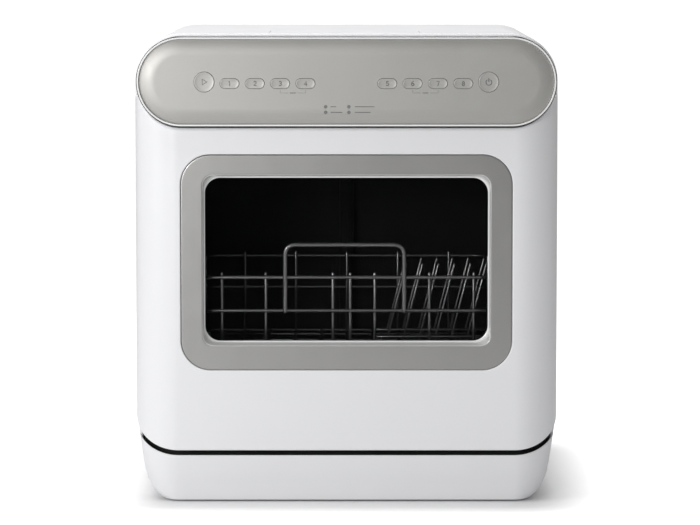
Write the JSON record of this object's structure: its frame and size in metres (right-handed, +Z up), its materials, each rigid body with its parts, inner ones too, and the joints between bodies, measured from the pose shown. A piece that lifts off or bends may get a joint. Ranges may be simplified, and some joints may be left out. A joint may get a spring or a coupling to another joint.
{
  "type": "countertop dishwasher",
  "caption": "White countertop dishwasher: drop-down door with a silver-framed dark window, capsule-shaped silver control head, sliding wire rack, filler lid and rear ports.",
  "frame": {"origin": "on the standing surface, under the middle of the body's width and depth", "axes": "+X to the right seen from the front, +Y to the back, +Z up"},
  "size_m": [0.424, 0.436, 0.469],
  "materials": {
    "white_shell": "smooth white moulded plastic",
    "silver_panel": "satin silver, fine-grained",
    "bright_rim": "bright pale silver edge ring",
    "key_cap": "satin silver with a fine printed outline",
    "lens": "milky light window",
    "dark_glass": "tinted safety glass",
    "clear_glass": "clear safety glass",
    "black_rubber": "matte rubber",
    "black_plastic": "matte black plastic",
    "tub_plastic": "dark satin plastic",
    "rack_coat": "dark grey plastic-coated wire",
    "steel": "zinc-plated and stainless steel",
    "grey_plastic": "grey technical plastic",
    "natural_plastic": "milky natural plastic",
    "circuit_board": "green board with black parts"
  },
  "bodies": {
    "cabinet": {"cabinet_shell": "white_shell", "rear_panel": "white_shell", "rear_screws": "steel", "base_shell": "white_shell", "base_pan": "steel", "feet": "black_rubber", "slit_band": "black_plastic", "tub": "tub_plastic", "tub_seal": "black_rubber", "rack_rails": "tub_plastic", "head_housing": "white_shell", "head_rim": "bright_rim", "fascia": "silver_panel", "control_board": "circuit_board", "indicator_lenses": "lens", "filler_basin": "white_shell", "filler_tube": "grey_plastic", "water_tank": "natural_plastic", "inlet_valve": "natural_plastic", "drain_port": "grey_plastic", "cord_gland": "black_rubber", "sump": "grey_plastic", "fine_filter": "steel", "wash_pump": "grey_plastic", "drain_pump": "grey_plastic", "water_heater": "steel", "riser_pipe": "grey_plastic", "fan_housing": "grey_plastic", "hinge_brackets": "steel", "door_switch": "black_plastic", "latch_magnet": "black_plastic"},
    "door": {"door_skin": "white_shell", "door_liner": "tub_plastic", "window_bezel": "silver_panel", "window_glass": "dark_glass", "inner_glass": "clear_glass", "window_seal": "black_rubber", "hinge_pins": "steel", "door_strike": "steel"},
    "rack": {"rack_frame": "rack_coat", "rack_floor": "rack_coat", "plate_tines": "rack_coat", "rack_handle": "rack_coat"},
    "lower_spray_arm": {"lower_spray_arm": "grey_plastic"},
    "upper_spray_arm": {"upper_spray_arm": "grey_plastic"},
    "pump_impeller": {"pump_impeller": "natural_plastic"},
    "fan_wheel": {"fan_wheel": "natural_plastic"},
    "coarse_filter": {"coarse_filter": "grey_plastic"},
    "float": {"float": "natural_plastic"},
    "filler_lid": {"filler_lid": "white_shell"},
    "start_key": {"start_key": "key_cap"},
    "power_key": {"power_key": "key_cap"},
    "key_1": {"key_1": "key_cap"},
    "key_2": {"key_2": "key_cap"},
    "key_3": {"key_3": "key_cap"},
    "key_4": {"key_4": "key_cap"},
    "key_5": {"key_5": "key_cap"},
    "key_6": {"key_6": "key_cap"},
    "key_7": {"key_7": "key_cap"},
    "key_8": {"key_8": "key_cap"}
  },
  "joints": [
    {"name": "door_hinge", "type": "hinge", "parent": "cabinet", "child": "door", "pos_m": [0, -0.198, 0.068], "axis": [1, 0, 0], "range_deg": [0, 90]},
    {"name": "rack_slide", "type": "slide", "parent": "cabinet", "child": "rack", "axis": [0, -1, 0], "range_m": [0, 0.111]},
    {"name": "lid_hinge", "type": "hinge", "parent": "cabinet", "child": "filler_lid", "pos_m": [-0.002, -0.048, 0.4668], "axis": [-1, 0, 0], "range_deg": [0, 95]},
    {"name": "lower_arm_spin", "type": "hinge", "parent": "cabinet", "child": "lower_spray_arm", "pos_m": [0, -0.005, 0.114], "axis": [0, 0, 1], "continuous": true},
    {"name": "upper_arm_spin", "type": "hinge", "parent": "cabinet", "child": "upper_spray_arm", "pos_m": [0, -0.005, 0.322], "axis": [0, 0, 1], "continuous": true},
    {"name": "impeller_spin", "type": "hinge", "parent": "cabinet", "child": "pump_impeller", "pos_m": [-0.065, -0.005, 0.05], "axis": [1, 0, 0], "continuous": true},
    {"name": "fan_spin", "type": "hinge", "parent": "cabinet", "child": "fan_wheel", "pos_m": [0.185, 0.04, 0.26], "axis": [1, 0, 0], "continuous": true},
    {"name": "filter_twist", "type": "hinge", "parent": "cabinet", "child": "coarse_filter", "pos_m": [0.07, -0.005, 0.085], "axis": [0, 0, 1], "range_deg": [0, 45]},
    {"name": "float_lift", "type": "slide", "parent": "cabinet", "child": "float", "axis": [0, 0, 1], "range_m": [0, 0.008]},
    {"name": "start_key_press", "type": "slide", "parent": "cabinet", "child": "start_key", "axis": [0, 1, 0], "range_m": [0, 0.0008], "stiffness_N_per_m": 800},
    {"name": "power_key_press", "type": "slide", "parent": "cabinet", "child": "power_key", "axis": [0, 1, 0], "range_m": [0, 0.0008], "stiffness_N_per_m": 800},
    {"name": "key_1_press", "type": "slide", "parent": "cabinet", "child": "key_1", "axis": [0, 1, 0], "range_m": [0, 0.0008], "stiffness_N_per_m": 800},
    {"name": "key_2_press", "type": "slide", "parent": "cabinet", "child": "key_2", "axis": [0, 1, 0], "range_m": [0, 0.0008], "stiffness_N_per_m": 800},
    {"name": "key_3_press", "type": "slide", "parent": "cabinet", "child": "key_3", "axis": [0, 1, 0], "range_m": [0, 0.0008], "stiffness_N_per_m": 800},
    {"name": "key_4_press", "type": "slide", "parent": "cabinet", "child": "key_4", "axis": [0, 1, 0], "range_m": [0, 0.0008], "stiffness_N_per_m": 800},
    {"name": "key_5_press", "type": "slide", "parent": "cabinet", "child": "key_5", "axis": [0, 1, 0], "range_m": [0, 0.0008], "stiffness_N_per_m": 800},
    {"name": "key_6_press", "type": "slide", "parent": "cabinet", "child": "key_6", "axis": [0, 1, 0], "range_m": [0, 0.0008], "stiffness_N_per_m": 800},
    {"name": "key_7_press", "type": "slide", "parent": "cabinet", "child": "key_7", "axis": [0, 1, 0], "range_m": [0, 0.0008], "stiffness_N_per_m": 800},
    {"name": "key_8_press", "type": "slide", "parent": "cabinet", "child": "key_8", "axis": [0, 1, 0], "range_m": [0, 0.0008], "stiffness_N_per_m": 800}
  ],
  "couplings": [
    {"joint": "rack_slide", "follows": "door_hinge", "m_per_rad": 0.07}
  ]
}
